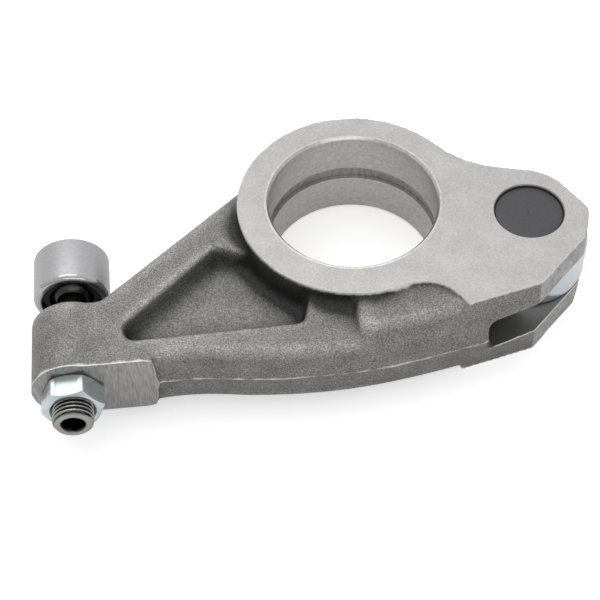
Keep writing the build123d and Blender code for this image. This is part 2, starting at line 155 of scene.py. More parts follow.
room = add_node(tree, "Background", {"Color": (1, 1, 1, 1), "Strength": (shown, 0)})
add_node(tree, "OutputWorld", {"Surface": (room, 0)})


def soft_box(name, width, length, place, watts):
    """A rectangular lamp that faces the origin: its sides are square to the line there."""
    lamp = bpy.data.lights.new(name, "AREA")
    lamp.shape = "RECTANGLE"
    lamp.size, lamp.size_y = width / 1000, length / 1000
    lamp.energy = watts
    holder = bpy.data.objects.new(name, lamp)
    out = np.array(place, float)
    out /= np.linalg.norm(out)
    side = np.cross([0.0, 1.0, 0.0], out)
    side /= np.linalg.norm(side)
    turn = np.eye(4)
    turn[:3, 0], turn[:3, 1], turn[:3, 2] = side, np.cross(out, side), out
    turn[:3, 3] = np.array(place) / 1000
    holder.matrix_world = Matrix(turn.tolist())
    scene.collection.objects.link(holder)


soft_box("overhead box", 700, 500, (-150, 250, 800), 1.2)
soft_box("front strip", 700, 150, (60, -620, 520), 0.55)

# Forged arm. Alloy steel, drop forged in two dies and shot blasted, then ground on both side
# faces and bored, slotted and milled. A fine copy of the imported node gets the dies' rounded
# corners and rough skin, and is then machined again with the same cuts, to crisp edges.
side_face_height = 37.6
mid_height = side_face_height / 2


def mesh_piece(name, points, faces, material, flat_above=30.0):
    """An object from points in millimetres and faces, with sharp edges above an angle."""
    mesh = bpy.data.meshes.new(name)
    mesh.from_pydata((np.asarray(points) / 1000).tolist(), [], faces)
    mesh.materials.append(material)
    mesh.shade_smooth()
    mesh.set_sharp_from_angle(angle=np.radians(flat_above))
    made = bpy.data.objects.new(name, mesh)
    scene.collection.objects.link(made)
    return made


def stack(outlines, heights):
    """A closed block of anticlockwise outlines, each at its height.

    Wall = four-sided faces from each outline's points to the same points of the next one.
    """
    count = len(outlines[0])
    points = np.vstack([np.column_stack([outline, np.full(count, z)])
                        for outline, z in zip(outlines, heights)])
    ring = np.arange(count)
    after = (ring + 1) % count
    low = (np.arange(len(heights) - 1) * count)[:, None]
    walls = np.stack([low + ring, low + after, low + after + count, low + ring + count], 2)
    top = ring + count * (len(heights) - 1)
    return points, [ring[::-1].tolist(), top.tolist(), *walls.reshape(-1, 4).tolist()]


def circle(centre, radius, count=96, start=0.0, end=360.0):
    """Points round a circle, or along an arc when the ends differ by less than a turn.

    Point = centre + radius * (cos angle, sin angle), at evenly spaced angles in degrees.
    """
    whole = abs(end - start) >= 360
    angle = np.radians(np.linspace(start, end, count, endpoint=not whole))
    return np.column_stack([centre[0] + radius * np.cos(angle), centre[1] + radius * np.sin(angle)])


pin_centre = np.array([60.96, -11.68])
slot_radius = 25.2
slot_half = 7.7
slot_corner = 3.2
flare_degrees = 7.6
flare = np.radians(flare_degrees)
flare_along = np.array([np.cos(flare), np.sin(flare)])
flare_length = 60
corner_turn = 10.5
corner_round = 14.0
corner_at = np.array([59.9, -44.3])
clear_x, clear_y = 110, 50


def slot_outline(inset):
    """Outline of the fork's slot: straight back, arc about the pin, flared front, open end.

    The arc's radius is the slot's less the inset. The front leaves it square to the flare's
    direction, and the open ends lie clear of the arm.
    """
    closed = slot_radius - inset
    start = pin_centre - closed * flare_along
    end = start + flare_length * np.array([np.sin(flare), -np.cos(flare)])
    return np.vstack([end, (clear_x, end[1]), (clear_x, clear_y),
                      (pin_centre[0] - closed, clear_y),
                      circle(pin_centre, closed, 9, 180, 180 + flare_degrees)])


# The slot's back rises to its walls in a quarter circle, which sets the inset at each height.
rounding = np.radians(np.linspace(0, 90, 7))
corner_inset = slot_corner * (1 - np.sin(rounding))
corner_height = slot_half - slot_corner * (1 - np.cos(rounding))
slot_insets = np.concatenate([corner_inset, corner_inset[::-1]])
slot_heights = np.concatenate([-corner_height, corner_height[::-1]])

# The fork's corner between front wall and bevel is milled round: what lies outside an arc that
# touches both is cut off.
bevel_top, bevel_foot = np.array([78.2, -25.8]), np.array([60.25, -43.97])
bevel_along = bevel_top - bevel_foot
bevel_out = np.array([bevel_along[1], -bevel_along[0]]) / np.linalg.norm(bevel_along)
corner_middle = np.degrees(np.arctan2(*bevel_out[::-1])) - corner_turn
corner_way = np.array([np.cos(np.radians(corner_middle)), np.sin(np.radians(corner_middle))])
corner_centre = corner_at - corner_round / np.cos(np.radians(corner_turn)) * corner_way
corner_arc = circle(corner_centre, corner_round, 9, corner_middle - corner_turn,
                    corner_middle + corner_turn)
corner_scrap, past_arc, corner_layers = 6, 1.5, 61
corner_outside = circle(corner_centre, corner_round + corner_scrap, 2,
                        corner_middle + corner_turn + past_arc,
                        corner_middle - corner_turn - past_arc)

seat_y = -58.7
seat_right_x = -64.3
seat_end_x = -73.8
screw_axis_x = -101.8
tapped_radius = 7.03
housing_radius = 31.6
pin_radius = 12.2
pin_clearance = 0.02
pin_hole_chamfer = 0.35
left, far_right, front, back = -140, 120, -105, 75
through = (-10, 50)
above_face = 1.0
block = [(left, front), (far_right, front), (far_right, back), (left, back)]
seat_block = [(left, front), (seat_right_x, front), (seat_right_x, seat_y), (left, seat_y)]
tapping = stack([circle((screw_axis_x, mid_height), tapped_radius, 64)] * 2, (front, 40))
tapping = (tapping[0][:, [0, 2, 1]], [face[::-1] for face in tapping[1]])
edge_heights = (-above_face, pin_hole_chamfer, side_face_height - pin_hole_chamfer,
                side_face_height + above_face)
widened = pin_hole_chamfer + above_face
pin_circles = [circle(pin_centre, pin_radius + pin_clearance + more)
               for more in (widened, 0, 0, widened)]
cuts = {
    "grinding_top": stack([block] * 2, (side_face_height, 60)),
    "grinding_base": stack([block] * 2, (-20, 0)),
    "boring": stack([circle((0, 0), housing_radius, 160)] * 2, through),
    "fork_slot": stack([slot_outline(inset) for inset in slot_insets], mid_height + slot_heights),
    "cheek_corner": stack([np.vstack([corner_arc[::-1], corner_outside[::-1]])] * corner_layers,
                          np.linspace(*through, corner_layers)),
    "nut_seat": stack([seat_block] * 2, through),
    "tapping": tapping,
    "pin_boring": stack(pin_circles, edge_heights),
}

voxel = 0.62
blank = bpy.data.objects.new("blank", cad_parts["rocker_arm"].data.copy())
scene.collection.objects.link(blank)
weld = blank.modifiers.new("weld", "WELD")
weld.merge_threshold = 1e-6
skin = blank.modifiers.new("skin", "REMESH")
skin.mode = "VOXEL"
skin.voxel_size = voxel / 1000
skin.use_smooth_shade = True


def finished_mesh(thing):
    """A new mesh of the object with its modifiers applied."""
    ready = thing.evaluated_get(bpy.context.evaluated_depsgraph_get())
    return bpy.data.meshes.new_from_object(ready)


def numbers(source, name, width, kind=np.float32):
    """A mesh attribute's values as an array with that many columns."""
    values = np.empty(len(source) * width, kind)
    source.foreach_get(name, values)
    return values.reshape(-1, width)


def neighbour_mean(values, edges):
    """Each vertex's mean over the vertices that an edge joins to it."""
    count = len(values)
    degree = np.bincount(edges.ravel(), minlength=count)[:, None]
    total = np.zeros_like(values)
    for column in range(values.shape[1]):
        total[:, column] = np.bincount(edges[:, 0], values[edges[:, 1], column], count)
        total[:, column] += np.bincount(edges[:, 1], values[edges[:, 0], column], count)
    return np.where(degree > 0, total / np.maximum(degree, 1), values)


def settle(points, share, edges, rounds):
    """Moves the points in place, round by round, a share of the way to their neighbours' mean."""
    for _ in range(rounds):
        points += share * (neighbour_mean(points, edges) - points)


def value_noise(points, size, seed):
    """Smooth noise of -1 to 1: random values on a grid of that size, blended between.

    The value at a grid point is looked up by its three whole numbers, each times a large prime
    and then combined. Between them it is weighted by 3 t^2 - 2 t^3 of the place in the cell.
    """
    rng = np.random.default_rng(seed)
    table = rng.uniform(-1, 1, 4096)
    primes = np.array([73856093, 19349663, 83492791])
    cell = np.floor(points / size).astype(int)
    part = points / size - cell
    part = part * part * (3 - 2 * part)
    total = np.zeros(len(points))
    for corner in np.ndindex(2, 2, 2):
        key = np.bitwise_xor.reduce((cell + corner) * primes, axis=1) % len(table)
        weight = np.prod(np.where(corner, part, 1 - part), axis=1)
        total += weight * table[key]
    return total


fine = finished_mesh(blank)
place = numbers(fine.vertices, "co", 3).astype(float) * 1000
normal = numbers(fine.vertices, "normal", 3).astype(float)
edges = numbers(fine.edges, "vertices", 2, np.int32)

# Material is left on wherever a machined face will be cut, as on the real blank. It isn't left
# outward at the slot's lips, so that these stay where the forging has them.
allowance = 0.5
fork_x = 32
slot_mouth_x, slot_mouth_y = 45, -14
boss_inside_y = -64
x, y, z = place.T
from_bore = np.hypot(x, y)
from_pin = np.hypot(x - pin_centre[0], y - pin_centre[1])
from_screw = np.hypot(x - screw_axis_x, z - mid_height)
slot_side = (place[:, :2] - pin_centre) @ flare_along
in_slot = ((np.abs(z - mid_height) < slot_half + 0.3) & (slot_side > -slot_radius - 0.4)
           & (x > fork_x))
machined = ((z > side_face_height - 0.15) | (z < 0.15) | (from_bore < housing_radius + 0.3)
            | (from_pin < pin_radius + 0.5) | in_slot
            | ((from_screw < tapped_radius + 0.37) & (y > boss_inside_y))
            | ((y < seat_y + 0.2) & (x < seat_right_x)))
outward = np.where(machined[:, None], normal, 0.0)
outward[in_slot, 1] = 0
outward[in_slot & (x > slot_mouth_x), 0] = 0
place += allowance * outward

# Inside corners are rounded by letting them settle towards their neighbours.
hollow = ((neighbour_mean(place, edges) - place) * normal).sum(1, keepdims=True) / voxel
inside = np.clip(hollow * 8 - 0.2, 0, 1)
inside[machined] = 0
for _ in range(5):
    inside = np.maximum(inside, neighbour_mean(inside, edges) * 1.02)
inside[machined] = 0
settle(place, 0.5 * inside, edges, 50)
settle(place, np.where(machined[:, None], 0.0, 0.4), edges, 3)

# The pad's front shoulder runs into the front wall without a ledge.
shoulder_left, shoulder_right, shoulder_back = -3, 44, -46
shoulder_low, shoulder_high = 26, 35.6
shoulder = ((x > shoulder_left) & (x < shoulder_right) & (y < shoulder_back)
            & (z > shoulder_low) & (z < shoulder_high))
soft = (shoulder & ~machined).astype(float)[:, None]
for _ in range(4):
    soft = 0.5 * (soft + neighbour_mean(soft, edges))
soft[machined] = 0
settle(place, 0.5 * soft, edges, 45)

# Skin of the forging: die wear of a few hundredths of a millimetre, and the trimmed flash as a
# low ragged ridge round the parting line, ridge height * exp(-(distance / width)^4).
die_wear = 0.05 * value_noise(place, 7.0, 1) + 0.035 * value_noise(place, 2.2, 2)
upright = np.clip((np.hypot(normal[:, 0], normal[:, 1]) - 0.8) * 6, 0, 1)
ridge_width = 0.75 + 0.35 * value_noise(place, 6.0, 3)
ridge_height = 0.42 + 0.16 * value_noise(place, 4.0, 4) + 0.1 * value_noise(place, 1.5, 5)
off_parting = (z - mid_height - 0.25 * value_noise(place, 9.0, 6)) / ridge_width
ridge = ridge_height * np.exp(-off_parting ** 4) * upright
ridge *= np.where((x < seat_end_x + 4) & (y < seat_y + 4), 0.3, 1)
place += np.where(machined, 0, die_wear + ridge)[:, None] * normal
low, high = (np.array(corner) * 1000 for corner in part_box("rocker_arm"))
place[~machined] = np.clip(place[~machined], low, high)

# The boss is left thick where the nut's seat is milled, so that the cut ends in a clean edge.
nut_pad_height = 1.8
nut_pad = np.clip((seat_y + 3 - y) / 1.5, 0, 1) * np.clip((seat_end_x - x) / 0.7, 0, 1)
place[:, 1] -= nut_pad_height * nut_pad

fine.vertices.foreach_set("co", (place / 1000).astype(np.float32).ravel())
blank.modifiers.clear()
blank.data = fine
cutters = []
for name, (points, faces) in cuts.items():
    cutter = mesh_piece(name, points, faces, None)
    cutting = blank.modifiers.new(name, "BOOLEAN")
    cutting.operation = "DIFFERENCE"
    cutting.solver = "MANIFOLD"
    cutting.object = cutter
    cutters.append(cutter)
arm_mesh = finished_mesh(blank)
for cutter in cutters:
    bpy.data.objects.remove(cutter)
bpy.data.objects.remove(blank)

# Two values per vertex steer the skin's colour, and both carry painted light. Hollow is how deep
# a place lies in a recess, or below zero how far it stands out, against the same mesh smoothed
# over about 7 mm, and the hub's wall beside the arm is counted deeper too. It sets painted shade
# in the recesses and on that wall, and a painted highlight on standing edges. The other value is
# a painted highlight: the bright ragged line along the flash and wherever a cutter broke out of
# the skin, as if these edges caught the light.
hub_middle_y, hub_radius = -1.07, 41.35
place = numbers(arm_mesh.vertices, "co", 3).astype(float) * 1000
normal = numbers(arm_mesh.vertices, "normal", 3).astype(float)
edges = numbers(arm_mesh.edges, "vertices", 2, np.int32)
length = np.linalg.norm(place[edges[:, 0]] - place[edges[:, 1]], axis=1)
edges = edges[length < 2 * voxel]
smooth = place.copy()
settle(smooth, 0.6, edges, 180)
depth = ((smooth - place) * normal).sum(1)
x, y, z = place.T
# Painted shade: the hub's wall beside the arm is counted as a deep recess, so that it is painted
# dark.
off_hub = np.hypot(x, y - hub_middle_y) - hub_radius
beside_hub = np.exp(-(np.maximum(off_hub, 0) / 4.5) ** 2) * (np.abs(z - mid_height) < 18)
on_arm_side = np.clip((14 - x) / 12, 0, 1) * np.clip((6 - y) / 12, 0, 1)
depth += 1.5 * beside_hub * on_arm_side
upright = np.clip((np.hypot(normal[:, 0], normal[:, 1]) - 0.7) * 5, 0, 1)
ragged = value_noise(place, 2.4, 7) + 0.8 * value_noise(place, 0.8, 8)
# Painted highlight: the bright lines below stand for light caught by the flash and by the edges
# where a cutter broke out of the skin.
flash = np.exp(-((z - mid_height) / (0.5 + 0.25 * ragged)) ** 2) * upright
flash *= np.clip(0.75 + 0.6 * value_noise(place, 3.5, 9), 0.2, 1)
to_ground = np.minimum(z, side_face_height - z)
broken = np.exp(-(np.maximum(to_ground, 0) / (0.85 + 0.2 * ragged)) ** 2)
at_seat = np.exp(-((y - seat_y) / (0.7 + 0.3 * ragged)) ** 2) * (x < seat_end_x + 0.4)
below_slot = (mid_height - slot_half - z) / (0.5 + 0.1 * ragged)
at_slot = np.exp(-below_slot ** 2) * np.clip((x - slot_mouth_x) / 2 + 1, 0, 1)
at_slot *= y < slot_mouth_y
on_bevel = (np.abs((place[:, :2] - bevel_foot) @ bevel_out) < 0.6) & (x > bevel_foot[0] - 1)
lines = np.max([0.8 * flash, 0.9 * broken, at_seat, at_slot, 0.42 * on_bevel], axis=0)
burr = np.clip(lines + 0.08 * ragged, 0, 1)
for name, values in (("hollow", np.clip(depth / 1.6, -1, 1)), ("burr", burr)):
    field = arm_mesh.attributes.new(name, "FLOAT", "POINT")
    field.data.foreach_set("value", values.astype(np.float32))

# As-forged and shot-blasted steel. It gives a fine speckle of pits in grey scale, with painted
# glints on the brightest of them, and a rough dull shine. Painted shade darkens it in the
# recesses and on the hub's wall, and painted highlights brighten its standing edges and the
# ragged edge lines. The pits are about 0.2 mm across, which doesn't show, so they are drawn at
# 0.5 mm.
pit_size, cloud_size = 0.5, 8.0
forged_skin, tree = new_material("as-forged shot-blasted steel")
where = add_node(tree, "TexCoord")
grain = add_node(tree, "TexNoise", {
    "Vector": (where, "Object"), "Scale": 1000 / pit_size, "Detail": 4.0, "Roughness": 0.7})
speck = add_node(tree, "MapRange", {"Value": (grain, 0), "From Min": 0.37, "From Max": 0.63})
base_grey = add_node(tree, "Mix", {0: (speck, 0), 6: "#636261", 7: "#A3A2A1"}, data_type="RGBA")
# Painted glints: the brightest grains are painted towards near white, as if they caught the light.
glint = add_node(tree, "MapRange", {
    "Value": (grain, 0), "From Min": 0.62, "From Max": 0.72, "To Max": 0.6})
scale_grey_and_glints = add_node(tree, "Mix", {
    0: (glint, 0), 6: (base_grey, 2), 7: "#D6D5D3"}, data_type="RGBA")
cloud = add_node(tree, "TexNoise", {"Vector": (where, "Object"), "Scale": 1000 / cloud_size})
patch = add_node(tree, "MapRange", {
    "Value": (cloud, 0), "From Min": 0.3, "From Max": 0.7, "To Min": 0.88, "To Max": 1.1})
clouded = add_node(tree, "VectorMath", {
    0: (scale_grey_and_glints, 2), "Scale": (patch, 0)}, operation="SCALE")
# Painted shade: the deeper a place lies in a recess, the darker it is painted, down to a fifth of
# its brightness.
recess = add_node(tree, "Attribute", attribute_name="hollow")
recess_shade = add_node(tree, "MapRange", {"Value": (recess, "Fac"), "To Min": 1.0, "To Max": 0.2})
# Painted highlight: where the skin stands out, as on its edges, it is painted up to 0.45 brighter.
convex_highlight = add_node(tree, "MapRange", {
    "Value": (recess, "Fac"), "From Min": -0.3, "From Max": -0.8, "To Max": 0.45})
brightness = add_node(tree, "Math", {0: (recess_shade, 0), 1: (convex_highlight, 0)}, operation="ADD")
shaded = add_node(tree, "VectorMath", {
    0: (clouded, 0), "Scale": (brightness, 0)}, operation="SCALE")
# Painted highlight: along these lines the skin is mixed towards near white.
edge = add_node(tree, "Attribute", attribute_name="burr")
edge_part = add_node(tree, "MapRange", {
    "Value": (edge, "Fac"), "From Min": 0.25, "From Max": 0.8, "To Max": 0.85})
skin_colour = add_node(tree, "Mix", {
    0: (edge_part, 0), 6: (shaded, 0), 7: "#EEEDEB"}, data_type="RGBA")
pitting = add_node(tree, "Bump", {"Strength": 0.6, "Distance": 0.00012, "Height": (grain, 0)})
shader = add_node(tree, "BsdfPrincipled", {
    "Base Color": (skin_colour, 2), "Metallic": 0.85, "Roughness": 0.56, "Normal": (pitting, 0)})
add_node(tree, "OutputMaterial", {"Surface": (shader, 0)})

# Surface-ground steel. It gives a pale satin grey with a sandy grain, slightly cloudy, and a few
# faint scratches. The wheel's grain is under 0.1 mm, so it is drawn at 0.45 mm to show at all.
sand_size, cloud_size = 0.45, 9.0
scratch_length, scratch_width = 16.667, 0.625
ground_face, tree = new_material("surface-ground steel")
where = add_node(tree, "TexCoord")
sand = add_node(tree, "TexNoise", {
    "Vector": (where, "Object"), "Scale": 1000 / sand_size, "Detail": 3.0})
along_scratch, across_scratch = 1000 / scratch_length, 1000 / scratch_width
stretch = add_node(tree, "Mapping", {
    "Vector": (where, "Object"), "Rotation": (0, 0, 0.5),
    "Scale": (along_scratch, across_scratch, along_scratch)})
scratch = add_node(tree, "TexNoise", {"Vector": (stretch, 0), "Scale": 1.0})
cloud = add_node(tree, "TexNoise", {"Vector": (where, "Object"), "Scale": 1000 / cloud_size})
faint = add_node(tree, "Math", {0: (scratch, 0), 1: 0.08, 2: (sand, 0)}, operation="MULTIPLY_ADD")
both = add_node(tree, "Math", {0: (cloud, 0), 1: 0.4, 2: (faint, 0)}, operation="MULTIPLY_ADD")
tone = add_node(tree, "MapRange", {"Value": (both, 0), "From Min": 0.55, "From Max": 1.15})
pale = add_node(tree, "Mix", {0: (tone, 0), 6: "#AEADAC", 7: "#D0CFCE"}, data_type="RGBA")
wheel = add_node(tree, "Bump", {"Strength": 0.3, "Distance": 0.00004, "Height": (faint, 0)})
shader = add_node(tree, "BsdfPrincipled", {
    "Base Color": (pale, 2), "Metallic": 0.95, "Roughness": 0.46, "Normal": (wheel, 0)})
add_node(tree, "OutputMaterial", {"Surface": (shader, 0)})

# Milled steel of the nut's seat. It gives fine slanted cutter marks, darker than the ground
# faces. The feed marks are about 0.2 mm apart and are drawn at 0.56 mm so that they show.
mark_spacing, mark_length, mark_depth = 0.5556, 6.667, 4.545
milled_face, tree = new_material("milled steel")
where = add_node(tree, "TexCoord")
slant = add_node(tree, "Mapping", {
    "Vector": (where, "Object"), "Rotation": (0, 0.9, 0),
    "Scale": (1000 / mark_spacing, 1000 / mark_length, 1000 / mark_depth)})
marks = add_node(tree, "TexNoise", {"Vector": (slant, 0), "Scale": 1.0, "Detail": 3.0})
tone = add_node(tree, "MapRange", {"Value": (marks, 0), "From Min": 0.3, "From Max": 0.7})
cut_grey = add_node(tree, "Mix", {0: (tone, 0), 6: "#918F8E", 7: "#B6B5B4"}, data_type="RGBA")
ridges = add_node(tree, "Bump", {"Strength": 0.4, "Distance": 0.00005, "Height": (marks, 0)})
shader = add_node(tree, "BsdfPrincipled", {
    "Base Color": (cut_grey, 2), "Metallic": 0.9, "Roughness": 0.42, "Normal": (ridges, 0)})
add_node(tree, "OutputMaterial", {"Surface": (shader, 0)})


def mottled(tree, size, dark, light, detail=2.0, spread=(0.3, 0.7)):
    """Noise node in patches of a size in millimetres, and a colour node that it varies.

    The colour runs from dark to light while the noise runs over its spread.
    """
    where = add_node(tree, "TexCoord")
    noise = add_node(tree, "TexNoise", {
        "Vector": (where, "Object"), "Scale": 1000 / size, "Detail": detail})
    tone = add_node(tree, "MapRange", {
        "Value": (noise, 0), "From Min": spread[0], "From Max": spread[1]})
    return noise, add_node(tree, "Mix", {0: (tone, 0), 6: dark, 7: light}, data_type="RGBA")


# Bored and broached steel of the slot and the holes. It gives smooth, oiled and rather dark
# walls with a faint haze, whose patches are about 0.9 mm across.
bored_wall, tree = new_material("bored steel, oiled")
_, oiled = mottled(tree, 0.9, "#83827F", "#989794", spread=(0, 1))
shader = add_node(tree, "BsdfPrincipled", {
    "Base Color": (oiled, 2), "Metallic": 0.9, "Roughness": 0.42})
add_node(tree, "OutputMaterial", {"Surface": (shader, 0)})

arm_mesh.materials.clear()
for each in (forged_skin, ground_face, milled_face, bored_wall):
    arm_mesh.materials.append(each)
centre = numbers(arm_mesh.polygons, "center", 3) * 1000
facing = numbers(arm_mesh.polygons, "normal", 3)
x, y, z = centre.T
off_faces = np.minimum(np.abs(z), np.abs(z - side_face_height))
ground = (np.abs(facing[:, 2]) > 0.999) & (off_faces < 0.02)
on_seat = (np.abs(y - seat_y) < 0.02) & (facing[:, 1] < -0.999)
from_screw = np.hypot(x - screw_axis_x, z - mid_height)
slot_side = (centre[:, :2] - pin_centre) @ flare_along
from_pin = np.hypot(x - pin_centre[0], y - pin_centre[1])
behind_arc = (slot_side > -slot_radius - 0.05) | (from_pin < slot_radius + 0.05)
in_slot = (np.abs(z - mid_height) < slot_half + 0.02) & behind_arc & (x > fork_x + 1)
cheek_wall = np.abs(np.abs(z - mid_height) - slot_half) < 0.02
in_slot &= cheek_wall | (np.abs(facing[:, 1]) < 0.5)
in_housing = np.hypot(x, y) < housing_radius + 0.02
in_holes = ((from_screw < tapped_radius + 0.02)
            | (from_pin < pin_radius + pin_hole_chamfer + 0.03))
kind = np.select([ground, on_seat | in_housing, in_slot | in_holes], [1, 2, 3], 0)
arm_mesh.polygons.foreach_set("material_index", kind.astype(np.int32))
arm_mesh.shade_smooth()
arm_mesh.set_sharp_from_angle(angle=np.radians(35))
curved = ~(ground | on_seat | (cheek_wall & in_slot))
arm_mesh.polygons.foreach_set("use_smooth", curved)
arm = bpy.data.objects.new("forged_arm", arm_mesh)
scene.collection.objects.link(arm)
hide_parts("rocker_arm")
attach(arm, "arm")

# Bearing bushes. Two lined steel bushes pressed in flush with the ground faces, chamfered at
# the mouth and finely bored in place. The gap between them is the oil groove.
bore_radius = 30.0
bush_length = 16.0
bush_chamfer_depth, bush_chamfer_width = 0.95, 0.8


def rounded(corners, radii, steps=5):
    """A closed outline with each corner replaced by an arc of its radius, or kept at zero.

    The arc's middle lies on the corner's bisector, at radius / sin(half the corner's angle), and
    it touches each side at radius / tan(half the angle) from the corner.
    """
    corners = np.asarray(corners, float)
    pieces = []
    for before, at, after, radius in zip(np.roll(corners, 1, 0), corners, np.roll(corners, -1, 0),
                                         radii):
        if radius == 0:
            pieces.append(at[None])
            continue
        back = (before - at) / np.linalg.norm(before - at)
        on = (after - at) / np.linalg.norm(after - at)
        half = np.arccos(np.clip(back @ on, -1, 1)) / 2
        reach = radius / np.tan(half)
        start, end = at + reach * back, at + reach * on
        middle = at + (back + on) / np.linalg.norm(back + on) * radius / np.sin(half)
        turn = np.arctan2(*(start - middle)[::-1]), np.arctan2(*(end - middle)[::-1])
        sweep = (turn[1] - turn[0] + np.pi) % (2 * np.pi) - np.pi
        angle = turn[0] + sweep * np.linspace(0, 1, steps)
        pieces.append(middle + radius * np.column_stack([np.cos(angle), np.sin(angle)]))
    return np.vstack(pieces)


def turned_piece(name, radius, along, axis, centre, material, flat_above, ends=None):
    """A piece from rows of radius and distance along its axis, one value for each angle.

    Place = centre + radius * (cos angle, sin angle) across the axis + distance along it. The
    rows run anticlockwise when the radius points right. With two ends, a point on the axis
    closes the first and the last row. Without them the last row is joined to the first.
    """
    rows, count = radius.shape
    angle = np.linspace(0, 2 * np.pi, count, endpoint=False)
    wide, deep = radius * np.cos(angle), radius * np.sin(angle)
    grid = np.stack([wide, deep, along] if axis == "Z" else [deep, along, wide], 2).reshape(-1, 3)
    row, column = np.indices((rows - (ends is not None), count)).reshape(2, -1)
    after = (column + 1) % count
    above = (row + 1) % rows
    faces = np.column_stack([row * count + column, row * count + after, above * count + after,
                             above * count + column]).tolist()
    if ends is not None:
        tips = np.zeros((2, 3))
        tips[:, 2 if axis == "Z" else 1] = ends
        ring = np.arange(count)
        after = (ring + 1) % count
        top = (rows - 1) * count
        faces += np.column_stack([np.full(count, len(grid)), after, ring]).tolist()
        faces += np.column_stack([np.full(count, len(grid) + 1), ring + top, after + top]).tolist()
        grid = np.vstack([grid, tips])
    return mesh_piece(name, grid + np.asarray(centre), faces, material, flat_above)


def lathe(name, profile, axis, centre, material, count=192):
    """A turned piece whose outline of (radius, distance) is the same at each angle.

    An outline whose first and last radius are zero is closed there by a point on the axis.
    """
    profile = np.asarray(profile, float)
    poles = profile[0, 0] == 0 and profile[-1, 0] == 0
    rows = profile[1:-1] if poles else profile
    radius, along = (np.repeat(rows[:, k : k + 1], count, 1) for k in (0, 1))
    return turned_piece(name, radius, along, axis, centre, material, 30.0,
                        profile[[0, -1], 1] if poles else None)


def ring_marks(tree, axis, spacing, length):
    """Noise node for a tool's marks round a piece: their spacing is along its axis, in mm.

    The noise is read at the place times 1000 / length, and along the axis 1000 / spacing.
    """
    where = add_node(tree, "TexCoord")
    scale = [1000 / length] * 3
    scale["XYZ".index(axis)] = 1000 / spacing
    squeezed = add_node(tree, "Mapping", {"Vector": (where, "Object"), "Scale": scale})
    return add_node(tree, "TexNoise", {"Vector": (squeezed, 0), "Scale": 1.0})


# White-metal lining. It gives a satin, slightly warm grey, mottled in patches of 1.2 mm, with
# boring marks that run round the wall. The real marks are about 0.1 mm apart and are drawn at
# 0.45 mm so that they show.
lining, tree = new_material("bored bearing lining")
where = add_node(tree, "TexCoord")
boring = ring_marks(tree, "Z", 0.4545, 11.11)
mottle = add_node(tree, "TexNoise", {
    "Vector": (where, "Object"), "Scale": 1000 / 1.2, "Detail": 3.0})
both = add_node(tree, "Math", {0: (boring, 0), 1: 0.4, 2: (mottle, 0)}, operation="MULTIPLY_ADD")
tone = add_node(tree, "MapRange", {"Value": (both, 0), "From Min": 0.45, "From Max": 0.95})
warm = add_node(tree, "Mix", {0: (tone, 0), 6: "#BAB8B4", 7: "#D6D4D0"}, data_type="RGBA")
fine_lines = add_node(tree, "Bump", {"Strength": 0.25, "Distance": 0.00003, "Height": (boring, 0)})
shader = add_node(tree, "BsdfPrincipled", {
    "Base Color": (warm, 2), "Metallic": 0.95, "Roughness": 0.3, "Normal": (fine_lines, 0)})
add_node(tree, "OutputMaterial", {"Surface": (shader, 0)})

for name, face, inward in (("bush_upper", side_face_height, -1), ("bush_lower", 0.0, 1)):
    corners = [(housing_radius, face), (bore_radius + bush_chamfer_width, face),
               (bore_radius, face + inward * bush_chamfer_depth),
               (bore_radius, face + inward * bush_length),
               (housing_radius, face + inward * bush_length)]
    outline = rounded(corners, (0.05, 0.08, 0.1, 0.2, 0.1))
    bush = lathe("lined_" + name, outline[::inward], "Z", (0, 0, 0), lining, 256)
    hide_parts(name)
    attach(bush, "arm")

# Roller pin. Hardened steel with a dark phosphate finish, pressed into both cheeks and a little
# below the ground faces. Its ends keep a faint mark of the lathe's centre.
pin_recess = 1.1
pin_edge = 0.5

# Phosphated steel. It gives an even, dark and slightly dusty grey. The crystals are far too fine
# to show, so they are drawn as 0.7 mm clouds.
dark_finish, tree = new_material("phosphated steel")
dust, slate = mottled(tree, 0.7, "#4C4C4F", "#545458")
crystal = add_node(tree, "Bump", {"Strength": 0.2, "Distance": 0.00004, "Height": (dust, 0)})
shader = add_node(tree, "BsdfPrincipled", {
    "Base Color": (slate, 2), "Metallic": 0.35, "Roughness": 0.5, "Normal": (crystal, 0)})
add_node(tree, "OutputMaterial", {"Surface": (shader, 0)})

pin_low, pin_high = pin_recess, side_face_height - pin_recess

# The pin's outline: the centre mark with its raised rim, a flat end and a rounded edge.
dimple = np.array([(0.0, -0.3), (0.5, -0.22), (0.95, -0.05), (1.25, 0.05), (1.6, 0.0)])
end_profile = np.vstack([dimple, [(4.0, 0), (8.0, 0), (pin_radius - pin_edge - 0.1, 0),
                                  (pin_radius - pin_edge, -0.03), (pin_radius - 0.1, -0.42),
                                  (pin_radius, -pin_edge - 0.05)]])
profile = np.vstack([end_profile * (1, -1) + (0, pin_low), (end_profile + (0, pin_high))[::-1]])
pin = lathe("fork_pin", profile, "Z", (*pin_centre, 0), dark_finish, 160)
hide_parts("roller_pin")
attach(pin, "arm")

# Floating bush. A plain turned bronze ring that floats between pin and roller, held in by the
# cheeks and out of sight in the fork.
running_gap = 0.04
bush_wall = 2.0
roller_half = 7.4

# Turned bronze. It gives a warm gold with rings of the tool's feed, which are under 0.1 mm apart
# and are drawn at 0.56 mm so that they show.
bronze, tree = new_material("turned bronze")
turning = ring_marks(tree, "Z", 0.5556, 12.5)
gold = add_node(tree, "Mix", {0: (turning, 0), 6: "#9A7A48", 7: "#C2A268"}, data_type="RGBA")
shader = add_node(tree, "BsdfPrincipled", {
    "Base Color": (gold, 2), "Metallic": 1.0, "Roughness": 0.35})
add_node(tree, "OutputMaterial", {"Surface": (shader, 0)})

